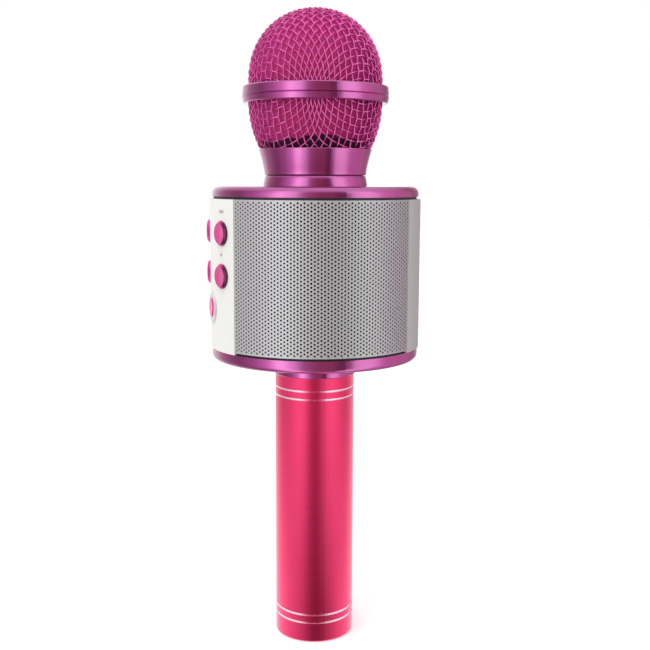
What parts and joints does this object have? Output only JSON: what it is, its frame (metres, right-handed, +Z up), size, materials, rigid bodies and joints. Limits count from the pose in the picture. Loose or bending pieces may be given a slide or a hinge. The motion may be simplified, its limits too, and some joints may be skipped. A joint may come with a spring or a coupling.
{
  "type": "karaoke microphone",
  "caption": "Handheld wireless karaoke microphone: wire-mesh head on a round loudspeaker drum with press buttons, above a slim metal handle.",
  "frame": {"origin": "centre of the handle's flat foot", "axes": "+Z up the handle's axis towards the mesh head; the button panel faces -Y; the two grilles face +X and -X"},
  "size_m": [0.0804, 0.0813, 0.2437],
  "materials": {
    "magenta_metal": "spun aluminium under a satin metallic lacquer, magenta purple",
    "pink_wire": "woven wire, metallic pink lacquer",
    "rose_anodised": "satin anodised, hot pink, bright turned grooves",
    "silver_sheet": "perforated sheet, silver paint",
    "pale_panel": "pearl silver paint on moulded plastic",
    "bezel_silver": "satin plated ring",
    "button_pink": "metallic pink lacquer",
    "windscreen_foam": "open-cell foam, crimson pink",
    "speaker_cloth": "black acoustic cloth",
    "black_plastic": "moulded, matt",
    "black_rubber": "soft rubber",
    "bright_steel": "zinc-plated",
    "magnet_dark": "sintered magnet and plated yoke",
    "cone_paper": "pressed paper pulp",
    "board_green": "glass-fibre board, green solder mask",
    "chip_black": "moulded package",
    "cell_wrap": "shrink sleeve",
    "ribbon_grey": "flat cable",
    "lead_red": "insulated leads"
  },
  "bodies": {
    "housing": {"neck_ring": "magenta_metal", "neck_nut": "bright_steel", "capsule_post": "black_plastic", "capsule_cradle": "black_rubber", "mic_capsule": "bright_steel", "top_plate": "magenta_metal", "top_plate_screws": "bright_steel", "drum_core": "black_plastic", "grille_right": "silver_sheet", "grille_left": "silver_sheet", "speaker_cloth": "speaker_cloth", "front_panel": "pale_panel", "power_bezel": "bezel_silver", "control_board": "board_green", "switch_bodies": "chip_black", "rear_panel": "pale_panel", "main_board": "board_green", "usb_socket": "bright_steel", "audio_jack": "black_plastic", "card_socket": "bright_steel", "wireless_module": "bright_steel", "board_chips": "chip_black", "capacitors": "bright_steel", "board_screws": "bright_steel", "ribbon_cable": "ribbon_grey", "speaker_frame_right": "bright_steel", "speaker_frame_left": "bright_steel", "speaker_magnet_right": "magnet_dark", "speaker_magnet_left": "magnet_dark", "speaker_surround_right": "black_rubber", "speaker_surround_left": "black_rubber", "speaker_screws": "bright_steel", "bottom_plate": "magenta_metal", "bottom_plate_screws": "bright_steel", "handle_tube": "rose_anodised", "handle_insert": "bright_steel", "handle_screws": "bright_steel", "end_cap": "rose_anodised", "battery_tray": "black_plastic", "battery": "cell_wrap", "wiring_leads": "lead_red"},
    "seal": {"neck_seal": "black_rubber"},
    "head": {"dome_mesh": "pink_wire", "lower_mesh": "pink_wire", "head_ring": "magenta_metal", "head_collar": "magenta_metal", "foam_windscreen": "windscreen_foam"},
    "key_upper_right": {"button_upper_right": "button_pink", "plunger_upper_right": "black_plastic"},
    "key_upper_left": {"button_upper_left": "button_pink", "plunger_upper_left": "black_plastic"},
    "key_lower_right": {"button_lower_right": "button_pink", "plunger_lower_right": "black_plastic"},
    "key_lower_left": {"button_lower_left": "button_pink", "plunger_lower_left": "black_plastic"},
    "key_power": {"button_power": "button_pink", "plunger_power": "black_plastic"},
    "cone_right": {"speaker_cone_right": "cone_paper"},
    "cone_left": {"speaker_cone_left": "cone_paper"}
  },
  "joints": [
    {"name": "head_rise", "type": "slide", "parent": "housing", "child": "seal", "axis": [0, 0, 1], "range_m": [0, 0.0053]},
    {"name": "head_turn", "type": "hinge", "parent": "seal", "child": "head", "pos_m": [0, 0, 0.1849], "axis": [0, 0, 1], "range_deg": [0, 1260]},
    {"name": "press_upper_right", "type": "slide", "parent": "housing", "child": "key_upper_right", "axis": [-0.2723, 0.9622, 0], "range_m": [0, 0.0005]},
    {"name": "press_upper_left", "type": "slide", "parent": "housing", "child": "key_upper_left", "axis": [0.2723, 0.9622, 0], "range_m": [0, 0.0005]},
    {"name": "press_lower_right", "type": "slide", "parent": "housing", "child": "key_lower_right", "axis": [-0.2723, 0.9622, 0], "range_m": [0, 0.0005]},
    {"name": "press_lower_left", "type": "slide", "parent": "housing", "child": "key_lower_left", "axis": [0.2723, 0.9622, 0], "range_m": [0, 0.0005]},
    {"name": "press_power", "type": "slide", "parent": "housing", "child": "key_power", "axis": [0, 1, 0], "range_m": [0, 0.0005]},
    {"name": "cone_right_stroke", "type": "slide", "parent": "housing", "child": "cone_right", "axis": [1, 0, 0], "range_m": [-0.0005, 0.0005]},
    {"name": "cone_left_stroke", "type": "slide", "parent": "housing", "child": "cone_left", "axis": [-1, 0, 0], "range_m": [-0.0005, 0.0005]}
  ],
  "couplings": [
    {"joint": "head_rise", "follows": "head_turn", "m_per_rad": 0.00023873}
  ]
}
